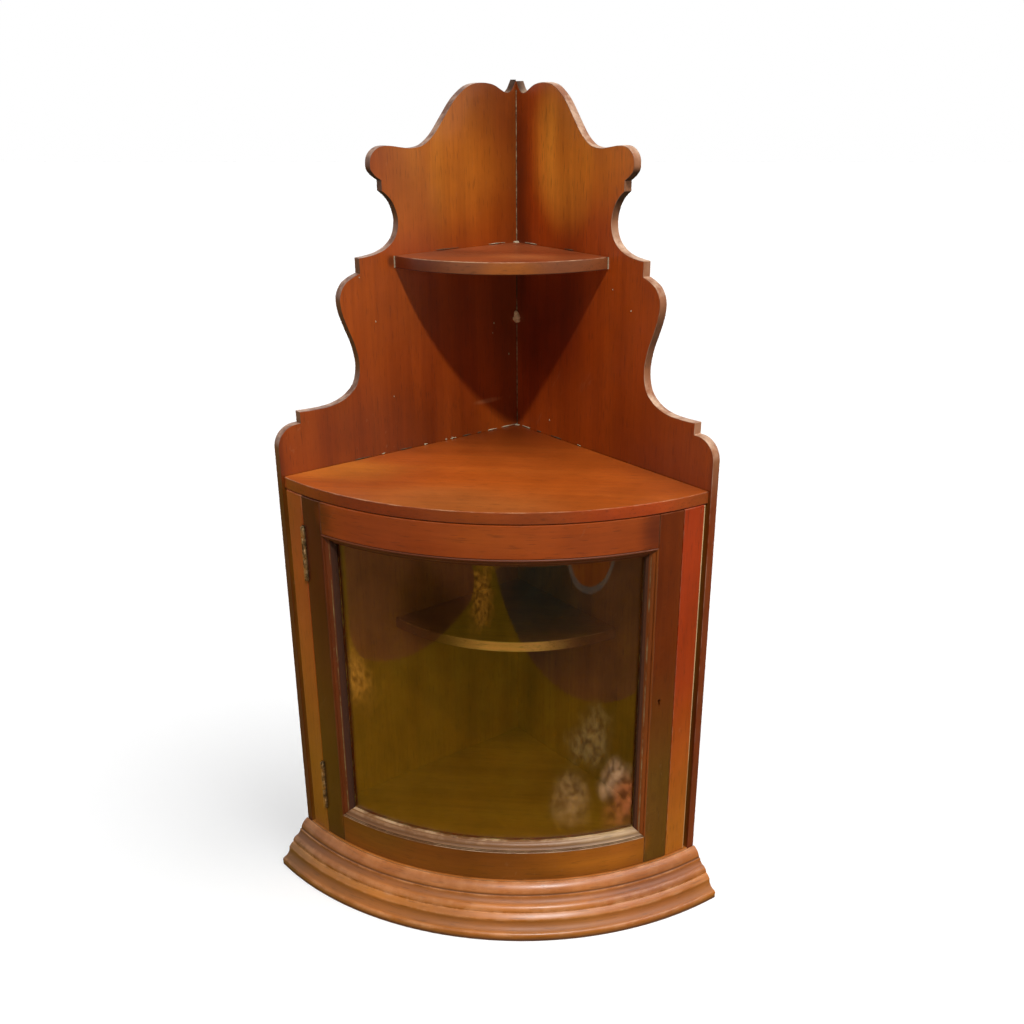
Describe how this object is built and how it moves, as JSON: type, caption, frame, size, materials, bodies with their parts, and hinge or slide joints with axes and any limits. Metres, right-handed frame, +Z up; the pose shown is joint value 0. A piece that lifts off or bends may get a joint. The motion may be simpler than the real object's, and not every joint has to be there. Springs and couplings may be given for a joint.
{
  "type": "corner cabinet",
  "caption": "Small bow-fronted corner cabinet with a glazed hinged door, a moulded plinth, and scroll-cut back boards that carry an open shelf.",
  "frame": {"origin": "on the floor, under the middle of the overall width and depth", "axes": "+Z up; the bowed front faces -Y; the back boards meet at the rear and face the two walls at 45 degrees to -Y"},
  "size_m": [0.5082, 0.356, 0.8564],
  "materials": {
    "back_wood": "varnished mahogany, vertical grain",
    "top_wood": "varnished mahogany, worn and polished",
    "frame_wood": "dark varnished mahogany",
    "plinth_wood": "varnished mahogany, rubbed on its high parts",
    "raw_wood": "bare softwood",
    "brass": "tarnished",
    "steel": "dull",
    "glass": "clear, slightly amber"
  },
  "bodies": {
    "carcass": {"back_board_left": "back_wood", "back_board_right": "back_wood", "bottom_board": "back_wood", "top_board": "top_wood", "small_shelf": "top_wood", "inner_shelf": "top_wood", "post_left": "frame_wood", "post_right": "frame_wood", "plinth_upper_moulding": "plinth_wood", "plinth_base_moulding": "plinth_wood", "plinth_rail": "raw_wood", "glue_block_left": "raw_wood", "glue_block_right": "raw_wood", "corner_block": "raw_wood", "hinge_lower_frame_leaf": "brass", "hinge_lower_pin": "brass", "hinge_upper_frame_leaf": "brass", "hinge_upper_pin": "brass", "corner_screw_1": "steel", "corner_screw_2": "steel", "corner_screw_3": "steel", "top_board_screw_left_1": "steel", "top_board_screw_left_2": "steel", "top_board_screw_right_1": "steel", "top_board_screw_right_2": "steel", "bottom_board_screw_left_1": "steel", "bottom_board_screw_left_2": "steel", "bottom_board_screw_right_1": "steel", "bottom_board_screw_right_2": "steel", "inner_shelf_screw_left_1": "steel", "inner_shelf_screw_right_1": "steel", "small_shelf_screw_left_1": "steel", "small_shelf_screw_right_1": "steel"},
    "door": {"door_stile_left": "frame_wood", "door_stile_right": "frame_wood", "door_rail_bottom": "frame_wood", "door_rail_top": "frame_wood", "glazing_bottom": "frame_wood", "glazing_top": "frame_wood", "glazing_left": "frame_wood", "glazing_right": "frame_wood", "bead_bottom": "frame_wood", "bead_top": "frame_wood", "bead_left": "frame_wood", "bead_right": "frame_wood", "glass_pane": "glass", "hinge_lower_door_leaf": "brass", "hinge_upper_door_leaf": "brass", "lock_case": "steel"},
    "bolt": {"lock_bolt": "brass"}
  },
  "joints": [
    {"name": "door_hinge", "type": "hinge", "parent": "carcass", "child": "door", "pos_m": [-0.19554, -0.07548, 0.2592], "axis": [0, 0, -1], "range_deg": [0, 110]},
    {"name": "lock_bolt_slide", "type": "slide", "parent": "door", "child": "bolt", "axis": [0.8059, 0.592, 0], "range_m": [0, 0.005]}
  ]
}
